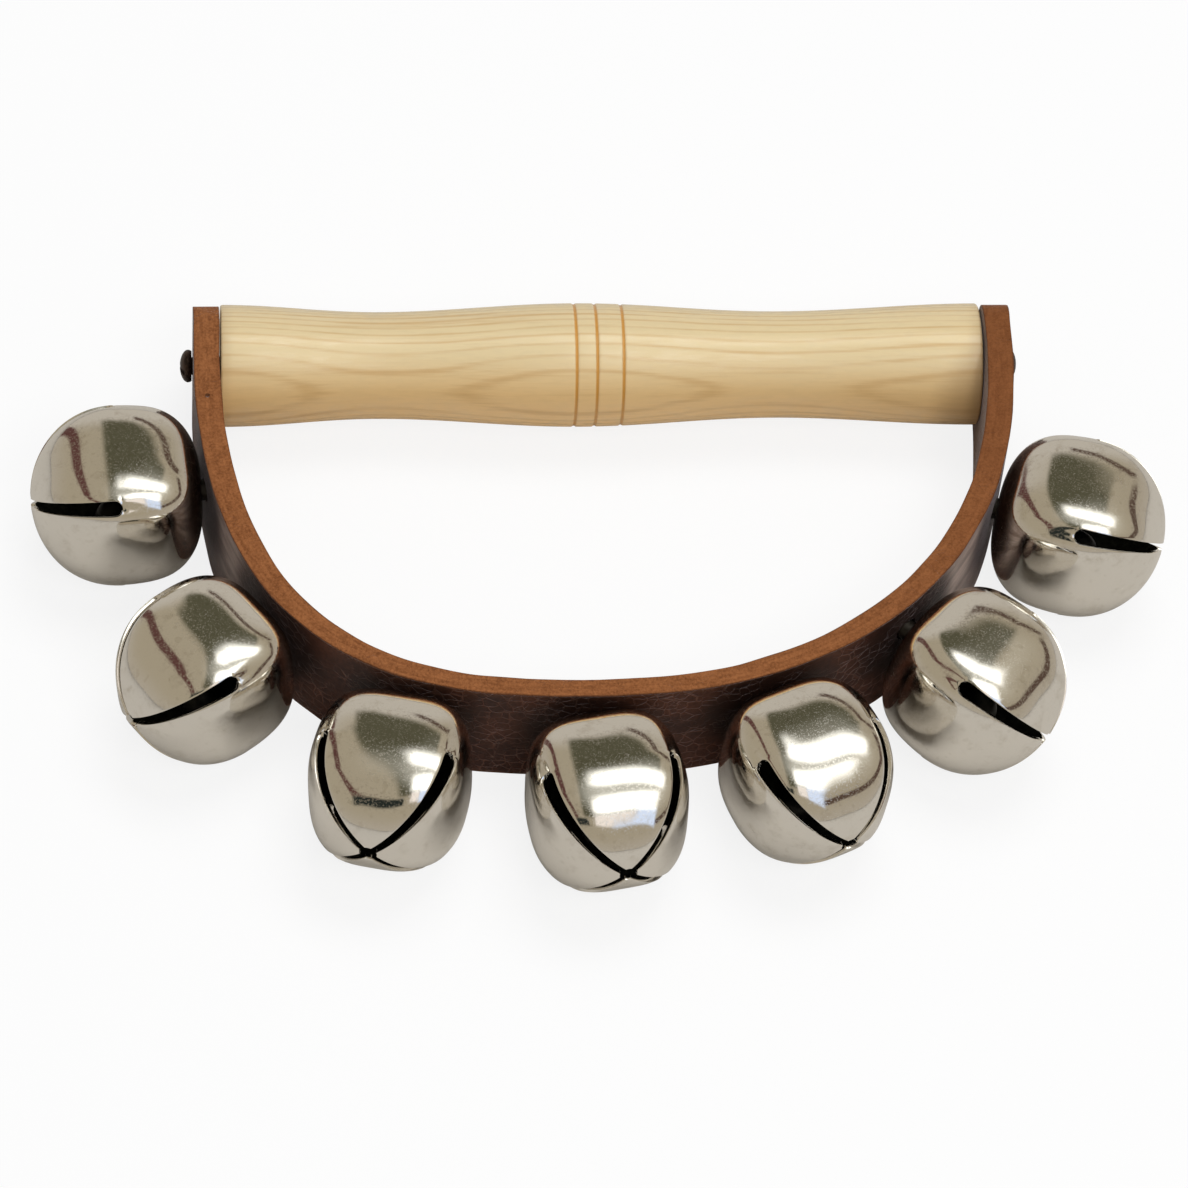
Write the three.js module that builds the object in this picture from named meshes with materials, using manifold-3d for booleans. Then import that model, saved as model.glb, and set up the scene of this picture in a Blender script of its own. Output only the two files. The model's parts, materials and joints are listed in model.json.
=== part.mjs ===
// Jingle ring: a turned wooden handle, closed into a ring by a leather bow that carries slotted bells.
// Millimetres, +Z up. The ring lies on the lower edge of its strap. X runs along the handle, +Y points
// from the bells to the handle, and the origin is on the table under the middle of the whole ring.

import * as THREE from 'three';
import { mergeVertices } from 'three/addons/utils/BufferGeometryUtils.js';
import Module from 'manifold-3d';

const wasm = await Module();
wasm.setup();

// Handle: two waists either side of a fuller belly, which stands a little left of the middle
const HANDLE_LENGTH = 130;
const HANDLE_END_D = 20.8;
const HANDLE_WAIST_D = 18.2;
const HANDLE_BELLY_D = 21.1;
const BELLY_SHIFT = -4;
const BELLY_TO_WAIST = 34;
const RIM_CHAMFER = 0.7;

// Rings scored round the handle by hand, at these places from its middle
const RING_PLACES = [-4.5, -1, 3.5];
const RING_WIDTH = 0.9;
const RING_DEEP = 0.4;

// Strap: a flat leather strap bent into a bow, thicker at its ends and leaning a little to the left
const STRAP_WIDTH = 25;
const STRAP_MID_THICK = 3.2;
const STRAP_END_THICK = 4.4;
const STRAP_OVER_AXIS = 6.5;
const STRAP_CORNER = 6;
const BOW_DEPTH = 71;
const BOW_LEG = 1;
const BOW_FULLNESS = 2.5;
const BOW_LEAN = -6.5;

// Bells: stamped sheet, square with round sides in section, with four petals that nearly meet at the crown.
// The higher a fullness is, the more the outline is like a box and the less like a ball.
const BELL_COUNT = 7;
const BELL_GAP = 3.6;
const BELL_ROW_SHIFT = -1.5;
const BELL_FLAT_D = 26;
const BELL_DOME = 14.2;
const BELL_CROWN = 14.5;
const SECTION_FULLNESS = 3.7;
const DOME_FULLNESS = 2.75;
const CROWN_FULLNESS = 2.05;
const BELL_WALL = 0.8;

// How each bell rests: a little along the strap, turned on its rivet, and with the rivet leaning aside
// and up in the leather. Lengths are in millimetres and angles in degrees.
const BELL_RESTS = [
  { along: -1, turn: 3, aside: -5, up: -1 },
  { along: 0.7, turn: 3, aside: 0, up: -4 },
  { along: -0.5, turn: 4, aside: 3, up: 4 },
  { along: 1.1, turn: 0, aside: 10, up: 5 },
  { along: 0.5, turn: -3, aside: 6, up: -3 },
  { along: -1.4, turn: -9, aside: 6, up: -8 },
  { along: -1.2, turn: -8, aside: 3, up: -1 },
];

// Slots between the petals, and the small opening where they cross
const SLOT_END_D = 3;
const SLOT_TIP_WIDTH = 1.5;
const SLOT_END_BELOW_EQUATOR = 0.6;
const CROSS_OPENING_D = 3;

// Loose pellet in each bell
const PELLET_D = 8;

// Rivet through each bell's dome and the strap, and the washer under its tail
const RIVET_SHANK_D = 3.6;
const RIVET_HEAD_D = 7;
const RIVET_HEAD_HIGH = 1.4;
const RIVET_TAIL_D = 5.8;
const RIVET_TAIL_HIGH = 0.7;
const WASHER_D = 9;
const WASHER_THICK = 0.8;
const WASHER_SINK = 1.8;

// Screws through the strap's ends into the handle
const SCREW_HEAD_D = 5.6;
const SCREW_HEAD_HIGH = 2;
const SCREW_RIM = 0.6;
const SCREW_SHANK_D = 3;
const SCREW_IN_WOOD = 18;
const SCREW_POINT = 3;
const SCREW_SLOT_WIDTH = 0.9;
const SCREW_SLOT_DEEP = 0.8;

// Clearances
const SEAT = 0.25;
const BORE_CLEAR = 0.3;
const HEAD_CLEAR = 0.6;
const PELLET_CLEAR = 0.5;
const TABLE_CLEAR = 0.1;

// Facets
const HANDLE_SIDES = 24;
const HANDLE_STEP = 6.5;
const BOW_STEPS = 56;
const BELL_SIDES = 24;
const BELL_RINGS = 10;
const BELL_INNER_SIDES = 16;
const BELL_INNER_RINGS = 6;
const HARDWARE_SIDES = 12;
const DOME_STEPS = 3;
const CORNER_STEPS = 5;
const SLOT_END_STEPS = 4;
const PELLET_DETAIL = 1;
const BOW_CHORD = 0.002;

// Sizes that follow from the ones above
const HANDLE_HALF = HANDLE_LENGTH / 2;
const BELL_FLAT_R = BELL_FLAT_D / 2;
const BELL_CORNER_R = BELL_FLAT_R * 2 ** (0.5 - 1 / SECTION_FULLNESS);
const BELL_PITCH = BELL_FLAT_D + BELL_GAP;
const STEEPEST_REST = Math.max(...BELL_RESTS.map(({ up }) => Math.abs(up)));
const BELL_HEIGHT = lowestReach(THREE.MathUtils.degToRad(90 - STEEPEST_REST)) + TABLE_CLEAR;
const PELLET_REST = BELL_FLAT_R - BELL_WALL - PELLET_CLEAR - PELLET_D / 2;
const AXIS_HEIGHT = STRAP_WIDTH / 2;

const wood = new THREE.MeshStandardMaterial({ color: 0xd9b483, roughness: 0.35, metalness: 0 });
const leather = new THREE.MeshStandardMaterial({ color: 0x4b3026, roughness: 0.75, metalness: 0 });
const nickel = new THREE.MeshStandardMaterial({ color: 0xd2cdc3, roughness: 0.12, metalness: 1 });
const darkSteel = new THREE.MeshStandardMaterial({ color: 0x2e2622, roughness: 0.45, metalness: 0.8 });
const steel = new THREE.MeshStandardMaterial({ color: 0xa9a8a4, roughness: 0.3, metalness: 1 });

// Keeps positions only, joins the seams and drops the triangles that have no area at an axis.
function seal(geometry) {
  const bare = geometry.clone();
  bare.deleteAttribute('normal');
  bare.deleteAttribute('uv');
  const merged = mergeVertices(bare);
  const corners = merged.index.array;
  const kept = [];
  for (let i = 0; i < corners.length; i += 3) {
    const [a, b, c] = corners.subarray(i, i + 3);
    if (a !== b && b !== c && c !== a) {
      kept.push(a, b, c);
    }
  }
  merged.setIndex(kept);
  return merged;
}

function toSolid(geometry) {
  const sealed = seal(geometry);
  const vertProperties = new Float32Array(sealed.attributes.position.array);
  const triVerts = new Uint32Array(sealed.index.array);
  return new wasm.Manifold(new wasm.Mesh({ numProp: 3, vertProperties, triVerts }));
}

function toGeometry(solid) {
  const mesh = solid.getMesh();
  const geometry = new THREE.BufferGeometry();
  geometry.setAttribute('position', new THREE.BufferAttribute(mesh.vertProperties, 3));
  geometry.setIndex(new THREE.BufferAttribute(mesh.triVerts, 1));
  return geometry;
}

// A prism of an outline, standing equally far either side of the outline's plane.
function prism(outline, reach, curveSegments) {
  const options = { depth: 2 * reach, bevelEnabled: false, curveSegments };
  const geometry = new THREE.ExtrudeGeometry(outline, options);
  return geometry.translate(0, 0, -reach);
}

function cut(geometry, cutters) {
  return toGeometry(cutters.reduce((solid, cutter) => solid.subtract(toSolid(cutter)), toSolid(geometry)));
}

// Turns a profile of [radius, height] pairs about Z.
function turned(profile, sides) {
  const points = profile.map(([radius, height]) => new THREE.Vector2(radius, height));
  return seal(new THREE.LatheGeometry(points, sides).rotateX(Math.PI / 2));
}

// Half of a domed head: a quarter of an ellipse from its rim to its top on the axis.
function domed(radius, rimHeight, topHeight) {
  return Array.from({ length: DOME_STEPS + 1 }, (_, i) => {
    const angle = (Math.PI / 2) * (i / DOME_STEPS);
    const share = i === DOME_STEPS ? 0 : Math.cos(angle);
    return [radius * share, rimHeight + (topHeight - rimHeight) * Math.sin(angle)];
  });
}

// Places of a row of copies, evenly spaced about 0.
function evenRow(count, pitch) {
  return Array.from({ length: count }, (_, i) => (i - (count - 1) / 2) * pitch);
}

// A round rod about Z from one height to another.
function rod(radius, low, high) {
  const cylinder = new THREE.CylinderGeometry(radius, radius, high - low, HARDWARE_SIDES);
  return cylinder.rotateX(Math.PI / 2).translate(0, 0, (low + high) / 2);
}

function named(name, geometry, material) {
  const mesh = new THREE.Mesh(geometry, material);
  mesh.name = name;
  return mesh;
}

// Handle

// Radius along the handle: half a wave between each end, waist and belly.
function handleRadius(x) {
  const knots = [
    [-HANDLE_HALF, HANDLE_END_D / 2],
    [BELLY_SHIFT - BELLY_TO_WAIST, HANDLE_WAIST_D / 2],
    [BELLY_SHIFT, HANDLE_BELLY_D / 2],
    [BELLY_SHIFT + BELLY_TO_WAIST, HANDLE_WAIST_D / 2],
    [HANDLE_HALF, HANDLE_END_D / 2],
  ];
  const next = Math.max(1, knots.findIndex(([place]) => x <= place));
  const [[fromX, fromR], [toX, toR]] = knots.slice(next - 1, next + 1);
  const wave = (1 - Math.cos((Math.PI * (x - fromX)) / (toX - fromX))) / 2;
  return fromR + (toR - fromR) * wave;
}

// The turned surface between the rims: even steps, broken by the scored rings.
function handleSurface(end) {
  const steps = Math.ceil((2 * end) / HANDLE_STEP);
  const plain = Array.from({ length: steps + 1 }, (_, i) => -end + (2 * end * i) / steps)
    .filter((x) => RING_PLACES.every((ring) => Math.abs(x - ring) > RING_WIDTH))
    .map((x) => [handleRadius(x), x]);
  const scored = RING_PLACES.flatMap((ring) => [
    [handleRadius(ring - RING_WIDTH / 2), ring - RING_WIDTH / 2],
    [handleRadius(ring) - RING_DEEP, ring],
    [handleRadius(ring + RING_WIDTH / 2), ring + RING_WIDTH / 2],
  ]);
  return [...plain, ...scored].sort((a, b) => a[1] - b[1]);
}

// Turned about X, with a blind pilot hole for the screw in each end face.
function handleGeometry() {
  const end = HANDLE_HALF - SEAT;
  const hole = SCREW_SHANK_D / 2 + BORE_CLEAR;
  const holeFloor = end - SCREW_IN_WOOD - BORE_CLEAR;
  const rim = HANDLE_END_D / 2 - RIM_CHAMFER;
  const profile = [
    [0, -holeFloor],
    [hole, -holeFloor],
    [hole, -end],
    [rim, -end],
    ...handleSurface(end - RIM_CHAMFER),
    [rim, end],
    [hole, end],
    [hole, holeFloor],
    [0, holeFloor],
  ];
  return turned(profile, HANDLE_SIDES).rotateY(Math.PI / 2);
}

// Bow of the strap, followed from the left end (turn = -90 degrees) to the right end (turn = 90 degrees)

function bowPoint(turn) {
  const across = Math.sign(Math.sin(turn)) * Math.abs(Math.sin(turn)) ** (2 / BOW_FULLNESS);
  const down = Math.abs(Math.cos(turn)) ** (2 / BOW_FULLNESS);
  const lean = BOW_LEAN * Math.cos(turn) ** 2;
  return new THREE.Vector2(HANDLE_HALF * across + lean, -BOW_LEG - (BOW_DEPTH - BOW_LEG) * down);
}

// Outward normal of the bow, square to a short chord.
function bowNormal(turn) {
  const ahead = bowPoint(Math.min(turn + BOW_CHORD, Math.PI / 2));
  const behind = bowPoint(Math.max(turn - BOW_CHORD, -Math.PI / 2));
  const along = ahead.sub(behind).normalize();
  return new THREE.Vector2(along.y, -along.x);
}

function strapThickness(turn) {
  return STRAP_MID_THICK + (STRAP_END_THICK - STRAP_MID_THICK) * Math.sin(turn) ** 2;
}

class OuterFace extends THREE.Curve {
  getPoint(share) {
    const turn = Math.PI * (share - 0.5);
    return bowPoint(turn).addScaledVector(bowNormal(turn), strapThickness(turn));
  }
}

// Farthest reach of one end of a turning bell, in a direction at an angle to its axis.
function spunReach(angle, height, fullness) {
  const dual = fullness / (fullness - 1);
  const sum = (BELL_CORNER_R * Math.sin(angle)) ** dual + (height * Math.cos(angle)) ** dual;
  return sum ** (1 / dual);
}

function lowestReach(angle) {
  const dome = spunReach(angle, BELL_DOME, DOME_FULLNESS);
  const crown = spunReach(angle, BELL_CROWN, CROWN_FULLNESS);
  return Math.max(dome, crown);
}

// The middle of each bell: Z points out along its rivet, and X points up. Its dome just clears the strap.
function bellStations() {
  const face = new OuterFace();
  const middle = face.getLength() / 2 + BELL_ROW_SHIFT;
  return evenRow(BELL_COUNT, BELL_PITCH).map((place, i) => {
    const rest = BELL_RESTS[i % BELL_RESTS.length];
    const share = face.getUtoTmapping(0, middle + place + rest.along);
    const bend = Math.PI * (share - 0.5);
    const [turn, aside, up] = [rest.turn, rest.aside, rest.up].map(THREE.MathUtils.degToRad);
    const lean = Math.acos(Math.cos(aside) * Math.cos(up));
    const toOutside = spunReach(lean, BELL_DOME, DOME_FULLNESS) + SEAT;
    const normal = bowNormal(bend);
    const centre = face.getPoint(share).addScaledVector(normal, toOutside);
    const out = new THREE.Vector3(normal.x, normal.y, 0);
    const upright = new THREE.Vector3(0, 0, 1);
    const square = new THREE.Matrix4().makeBasis(upright, out.clone().cross(upright), out);
    const leaning = new THREE.Matrix4().makeRotationFromEuler(new THREE.Euler(aside, up, 0, 'YXZ'));
    const station = new THREE.Group();
    station.position.set(centre.x, centre.y, BELL_HEIGHT);
    station.quaternion.setFromRotationMatrix(square.multiply(leaning));
    station.updateMatrix();
    station.userData.turn = turn;
    station.userData.toInside = (toOutside + strapThickness(bend)) / Math.cos(lean);
    return station;
  });
}

// Outline of the bow seen from above, drawn up the inner face and back along the outer face.
function bowOutline() {
  const turns = Array.from({ length: BOW_STEPS + 1 }, (_, i) => Math.PI * (i / BOW_STEPS - 0.5));
  const inner = turns.map(bowPoint);
  const outer = turns.map((turn) => new OuterFace().getPoint(turn / Math.PI + 0.5)).reverse();
  const outerEnd = HANDLE_HALF + STRAP_END_THICK;
  const ends = [
    new THREE.Vector2(HANDLE_HALF, STRAP_OVER_AXIS),
    new THREE.Vector2(outerEnd, STRAP_OVER_AXIS),
  ];
  const starts = [
    new THREE.Vector2(-outerEnd, STRAP_OVER_AXIS),
    new THREE.Vector2(-HANDLE_HALF, STRAP_OVER_AXIS),
  ];
  return new THREE.Shape([...inner, ...ends, ...outer, ...starts]);
}

// Outline of the strap seen from its end: full width, with round corners at the free ends.
function strapSide() {
  const low = -2 * BOW_DEPTH;
  const side = new THREE.Shape();
  side.moveTo(low, 0);
  side.lineTo(STRAP_OVER_AXIS - STRAP_CORNER, 0);
  side.absarc(STRAP_OVER_AXIS - STRAP_CORNER, STRAP_CORNER, STRAP_CORNER, -Math.PI / 2, 0);
  side.lineTo(STRAP_OVER_AXIS, STRAP_WIDTH - STRAP_CORNER);
  side.absarc(STRAP_OVER_AXIS - STRAP_CORNER, STRAP_WIDTH - STRAP_CORNER, STRAP_CORNER, 0, Math.PI / 2);
  side.lineTo(low, STRAP_WIDTH);
  return side;
}

function strapGeometry(stations) {
  const band = prism(bowOutline(), 2 * STRAP_WIDTH, 1);
  const side = prism(strapSide(), HANDLE_LENGTH, CORNER_STEPS).rotateX(Math.PI / 2).rotateZ(Math.PI / 2);
  const strap = toGeometry(toSolid(band).intersect(toSolid(side)));
  const rivetHoles = stations.flatMap((station) => {
    const { toInside } = station.userData;
    const hole = rod(RIVET_SHANK_D / 2 + BORE_CLEAR, -2 * toInside, 0);
    const seat = rod(WASHER_D / 2 + BORE_CLEAR, -2 * toInside, WASHER_SINK - toInside);
    return [hole, seat].map((cutter) => cutter.applyMatrix4(station.matrix));
  });
  const screwHoles = [-1, 1].map((end) => {
    const hole = rod(SCREW_SHANK_D / 2 + BORE_CLEAR, -STRAP_END_THICK, STRAP_END_THICK);
    return hole.rotateY(Math.PI / 2).translate(end * (HANDLE_HALF + STRAP_END_THICK / 2), 0, AXIS_HEIGHT);
  });
  return cut(strap, [...rivetHoles, ...screwHoles]);
}

// Bells

// A length from its parts along square axes. A fullness of 2 gives the usual length.
function fullLength(fullness, ...parts) {
  const sum = parts.reduce((total, part) => total + Math.abs(part) ** fullness, 0);
  return sum ** (1 / fullness);
}

// A ball pressed towards a cube: square with round sides in section, with a full dome and a rounder crown.
function pressedBall(radius, dome, crown, sides, rings) {
  const ball = new THREE.SphereGeometry(1, sides, rings).rotateX(Math.PI / 2);
  const places = ball.attributes.position;
  const place = new THREE.Vector3();
  for (let i = 0; i < places.count; i += 1) {
    place.fromBufferAttribute(places, i);
    const [height, fullness] = place.z < 0 ? [dome, DOME_FULLNESS] : [crown, CROWN_FULLNESS];
    const aside = fullLength(SECTION_FULLNESS, place.x / radius, place.y / radius);
    place.divideScalar(fullLength(fullness, aside, place.z / height));
    places.setXYZ(i, place.x, place.y, place.z);
  }
  return ball;
}

// One slot right across the bell: a keyhole outline, widest in its round end and narrowest at the crown.
function slotCutter(turn) {
  const endR = SLOT_END_D / 2;
  const endHeight = endR - SLOT_END_BELOW_EQUATOR;
  const reach = BELL_FLAT_D;
  const outline = new THREE.Shape();
  outline.moveTo(-SLOT_TIP_WIDTH / 2, reach);
  outline.lineTo(-SLOT_TIP_WIDTH / 2, BELL_CROWN);
  outline.lineTo(-endR, endHeight);
  outline.absarc(0, endHeight, endR, Math.PI, 2 * Math.PI);
  outline.lineTo(SLOT_TIP_WIDTH / 2, BELL_CROWN);
  outline.lineTo(SLOT_TIP_WIDTH / 2, reach);
  return prism(outline, reach, SLOT_END_STEPS).rotateX(Math.PI / 2).rotateZ(turn);
}

function bellShellGeometry() {
  const outside = pressedBall(BELL_FLAT_R, BELL_DOME, BELL_CROWN, BELL_SIDES, BELL_RINGS);
  const inside = pressedBall(
    BELL_FLAT_R - BELL_WALL,
    BELL_DOME - BELL_WALL,
    BELL_CROWN - BELL_WALL,
    BELL_INNER_SIDES,
    BELL_INNER_RINGS,
  );
  const rivetHole = rod(RIVET_SHANK_D / 2 + BORE_CLEAR, -BELL_DOME - BELL_WALL, 0);
  const crossOpening = rod(CROSS_OPENING_D / 2, 0, BELL_CROWN + BELL_WALL);
  const cutters = [inside, slotCutter(Math.PI / 4), slotCutter(-Math.PI / 4), rivetHole, crossOpening];
  return cut(outside, cutters);
}

// Hardware

// Head inside the dome, shank through the dome and the strap, tail rolled over on the washer.
// Heights are from the bell's middle, and toInside is how far the strap's inner face is from there.
function rivetGeometry(toInside) {
  const shank = RIVET_SHANK_D / 2;
  const head = RIVET_HEAD_D / 2;
  const tail = RIVET_TAIL_D / 2;
  const headLow = BELL_WALL + HEAD_CLEAR - BELL_DOME;
  const headHigh = headLow + RIVET_HEAD_HIGH;
  const tailHigh = washerHigh(toInside) - WASHER_THICK - SEAT;
  const tailLow = tailHigh - RIVET_TAIL_HIGH;
  const profile = [
    ...domed(tail, tailHigh, tailLow).reverse(),
    [shank, tailHigh],
    [shank, headLow],
    ...domed(head, headLow, headHigh),
  ];
  return turned(profile, HARDWARE_SIDES);
}

// Height of the washer's upper face, in its seat on the strap's inner face.
function washerHigh(toInside) {
  return WASHER_SINK - toInside - SEAT;
}

function washerGeometry(toInside) {
  const hole = RIVET_SHANK_D / 2 + BORE_CLEAR;
  const high = washerHigh(toInside);
  const low = high - WASHER_THICK;
  const edge = WASHER_THICK / 2;
  const profile = [
    [hole, low],
    [WASHER_D / 2 - edge, low],
    [WASHER_D / 2, low + edge],
    [WASHER_D / 2, high],
    [hole, high],
    [hole, low],
  ];
  return turned(profile, HARDWARE_SIDES);
}

// Wood screw about Z with its head's underside at height 0 and a slot across the head.
function screwGeometry() {
  const head = SCREW_HEAD_D / 2;
  const shank = SCREW_SHANK_D / 2;
  const length = SEAT + STRAP_END_THICK + SEAT + SCREW_IN_WOOD;
  const profile = [
    [0, -length],
    [shank, SCREW_POINT - length],
    [shank, 0],
    [head, 0],
    ...domed(head, SCREW_RIM, SCREW_HEAD_HIGH),
  ];
  const slot = new THREE.BoxGeometry(SCREW_SLOT_WIDTH, 2 * SCREW_HEAD_D, 2 * SCREW_SLOT_DEEP);
  return cut(turned(profile, HARDWARE_SIDES), [slot.translate(0, 0, SCREW_HEAD_HIGH)]);
}

// Assembly
const ring = new THREE.Group();

const handle = named('handle', handleGeometry(), wood);
handle.position.z = AXIS_HEIGHT;
ring.add(handle);

const stations = bellStations();
ring.add(named('strap', strapGeometry(stations), leather));

const screwHeadSeat = HANDLE_HALF + STRAP_END_THICK + SEAT;
for (const [side, end] of [['left', -1], ['right', 1]]) {
  const screw = named(`handle_screw_${side}`, screwGeometry(), darkSteel);
  screw.position.set(end * screwHeadSeat, 0, AXIS_HEIGHT);
  screw.rotation.y = (end * Math.PI) / 2;
  ring.add(screw);
}

const shellGeometry = bellShellGeometry();
const pelletGeometry = seal(new THREE.IcosahedronGeometry(PELLET_D / 2, PELLET_DETAIL));
stations.forEach((station, i) => {
  const { turn, toInside } = station.userData;
  const shell = named(`bell_shell_${i + 1}`, shellGeometry, nickel);
  shell.rotation.z = turn;
  const rivet = named(`bell_rivet_${i + 1}`, rivetGeometry(toInside), steel);
  const washer = named(`rivet_washer_${i + 1}`, washerGeometry(toInside), steel);
  station.add(shell, rivet, washer);
  const pellet = named(`bell_pellet_${i + 1}`, pelletGeometry, steel);
  pellet.position.copy(station.position);
  pellet.position.z -= PELLET_REST;
  ring.add(station, pellet);
});

// Origin on the table, under the middle of the ring
const box = new THREE.Box3().setFromObject(ring, true);
const middle = box.getCenter(new THREE.Vector3());
ring.position.set(-middle.x, -middle.y, -box.min.z);

export default ring;
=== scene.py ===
"""Looks of the jingle ring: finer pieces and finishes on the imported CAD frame, in metres."""

import json
import math

import bmesh
import bpy
from mathutils import Matrix, Vector, noise


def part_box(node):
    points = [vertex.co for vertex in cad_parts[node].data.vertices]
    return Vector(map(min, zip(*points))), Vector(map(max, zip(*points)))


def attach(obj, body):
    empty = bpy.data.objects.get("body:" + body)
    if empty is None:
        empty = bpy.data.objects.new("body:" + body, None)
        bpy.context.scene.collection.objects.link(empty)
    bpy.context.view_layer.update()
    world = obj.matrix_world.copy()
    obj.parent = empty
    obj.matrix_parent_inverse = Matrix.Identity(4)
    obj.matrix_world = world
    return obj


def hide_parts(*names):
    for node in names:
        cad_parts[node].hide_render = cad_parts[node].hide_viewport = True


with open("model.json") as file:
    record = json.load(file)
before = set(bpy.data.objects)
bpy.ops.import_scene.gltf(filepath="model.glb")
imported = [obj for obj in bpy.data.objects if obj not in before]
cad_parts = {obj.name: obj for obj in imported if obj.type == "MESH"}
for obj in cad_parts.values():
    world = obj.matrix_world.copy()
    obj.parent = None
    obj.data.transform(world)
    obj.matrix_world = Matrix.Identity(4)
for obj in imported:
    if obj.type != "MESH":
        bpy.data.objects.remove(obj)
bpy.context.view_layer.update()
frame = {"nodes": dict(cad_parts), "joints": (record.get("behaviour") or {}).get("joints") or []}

MM = 0.001
UP = Vector((0, 0, 1))
MERGE_REACH = 0.005 * MM

# Handle, as turned in the CAD
handle_low, handle_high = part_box("handle")
HANDLE_MID = (handle_low + handle_high) / 2
HANDLE_END = (handle_high.x - handle_low.x) / 2
HANDLE_END_R = 10.4 * MM
HANDLE_WAIST_R = 9.1 * MM
HANDLE_BELLY_R = (handle_high.z - handle_low.z) / 2
BELLY_SHIFT = -4 * MM
BELLY_TO_WAIST = 34 * MM
RIM_ROUND = 0.45 * MM
RING_PLACES = (-4.5 * MM, -1.0 * MM, 3.5 * MM)
RING_HALF_WIDTH = 0.36 * MM
RING_DEEP = 0.2 * MM
GROWTH_SPACING = 1.3 * MM
GROWTH_SWAY = 5 * MM
PILOT_R = 1.8 * MM
PILOT_DEEP = 18.3 * MM
HANDLE_STEP = 1.6 * MM
HANDLE_SIDES = 96

# Strap and its bow, as in the CAD
strap_low, strap_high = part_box("strap")
STRAP_WIDTH = strap_high.z - strap_low.z
STRAP_HALF_WIDTH = STRAP_WIDTH / 2
STRAP_SPAN = 65 * MM
STRAP_MID_THICK = 3.2 * MM
STRAP_END_THICK = 4.4 * MM
STRAP_OVER_AXIS = strap_high.y - HANDLE_MID.y
STRAP_CORNER = 6 * MM
STRAP_EDGE_ROUND = 0.35 * MM
BOW_DEPTH = 71 * MM
BOW_LEG = 1 * MM
BOW_FULLNESS = 2.5
BOW_LEAN = -6.5 * MM
BOW_STEPS = 150
STRAP_ROWS = 18
STRAP_RIPPLE = 0.12 * MM
STRAP_RIPPLE_SCALE = 70
STRAP_WAVE = 0.22 * MM
STRAP_WAVE_SCALE = 150
STRAP_WAVE_SEED = 1
PIT_PLACE = HANDLE_MID + Vector((-67.1, -14.6, 12.5)) * MM
PIT_R = 0.4 * MM
# Painted shade on the leather round each bell: its centre this far along the rivet's axis, and its reach
BELL_SHADE_DEPTH = -15 * MM
BELL_SHADE_R = 14 * MM
CRACK_WANDER = 1.6 * MM
# Legs with a painted sheen and a coat: their middle along the strap, where each starts and ends, and the
# sheen's height
LEG_SHEEN_MID = -2.5 * MM
LEG_SHEEN_FROM = (57 * MM, 67 * MM)
LEG_SHEEN_TO = (88 * MM, 78 * MM)
LEG_SHEEN_HIGH = (3 * MM, 17 * MM)

# Bells
BELL_COUNT = 7
BELL_FLAT_R = 13 * MM
BELL_DOME = 14.2 * MM
BELL_CROWN = 14.5 * MM
SECTION_FULLNESS = 3.7
DOME_FULLNESS = 2.75
CROWN_FULLNESS = 2.05
BELL_CORNER_R = BELL_FLAT_R * 2 ** (0.5 - 1 / SECTION_FULLNESS)
BELL_WALL = 0.8 * MM
BELL_TURNS_DEG = (3, 3, 4, 0, -3, -9, -5.2)
SLOT_END_R = 1.38 * MM
SLOT_TIP_HALF = 0.66 * MM
SLOT_END_BELOW = 0.6 * MM
CROSS_OPENING_R = 1.5 * MM
RIVET_HOLE_R = 2.1 * MM
DENT_DEEP = 0.45 * MM
DENT_LONG = 8 * MM
DENT_HALF_WIDTH = 0.9 * MM
DENT_SPREAD = 0.3
DENT_PAST_END = 2 * MM
BELL_SIDES = 96
PETAL_ROWS = 20
ROUND_ROWS = 4
DOME_ROWS = 20
BELL_RIPPLE = 0.06 * MM
BELL_RIPPLE_SCALE = 130
BELL_EDGE_ROUND = 0.12 * MM
SLOT_ANGLE_SLACK = 0.01
SLOT_MOST_OPEN = 0.95
PELLET_FLATS = 0.03
PELLET_FLAT_SCALE = 300
PELLET_FINE_SCALE = 700

# Hardware
RIVET_SHANK_R = 1.8 * MM
RIVET_HEAD_R = 3.5 * MM
RIVET_HEAD_HIGH = 1.4 * MM
RIVET_TAIL_R = 2.9 * MM
RIVET_TAIL_HIGH = 0.7 * MM
WASHER_R = 4.5 * MM
WASHER_SEAT_R = 4.8 * MM
SCREW_HEAD_R = 2.8 * MM
SCREW_HEAD_HIGH = 2 * MM
SCREW_SHANK_R = 1.5 * MM
SCREW_HOLE_R = 1.8 * MM
SCREW_THREAD_PITCH = 1.2 * MM
SCREW_THREAD_DEEP = 0.3 * MM
SCREW_SLOT_WIDTH = 0.9 * MM
SCREW_SLOT_DEEP = 0.8 * MM
SCREW_SLOT_TURN_DEG = 25
HARDWARE_SIDES = 40


# Modelling

def choose(piece):
    """Selects this piece and no other."""
    bpy.ops.object.select_all(action="DESELECT")
    piece.select_set(True)
    bpy.context.view_layer.objects.active = piece


def edit(piece):
    """Opens this piece alone in edit mode."""
    choose(piece)
    bpy.ops.object.mode_set(mode="EDIT")


def close_up(piece):
    """Merges doubles, turns the faces outwards and leaves edit mode."""
    bpy.ops.mesh.select_all(action="SELECT")
    bpy.ops.mesh.remove_doubles(threshold=MERGE_REACH)
    bpy.ops.mesh.normals_make_consistent(inside=False)
    bpy.ops.object.mode_set(mode="OBJECT")
    return piece


def apply_modifier(piece, kind, **settings):
    """Adds a modifier with these settings and applies it."""
    choose(piece)
    modifier = piece.modifiers.new(kind.lower(), kind)
    for name, value in settings.items():
        setattr(modifier, name, value)
    bpy.ops.object.modifier_apply(modifier=modifier.name)


def smooth(piece, degrees):
    """Shades a piece smooth, apart from edges sharper than an angle."""
    choose(piece)
    bpy.ops.object.shade_smooth_by_angle(angle=math.radians(degrees))


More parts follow.
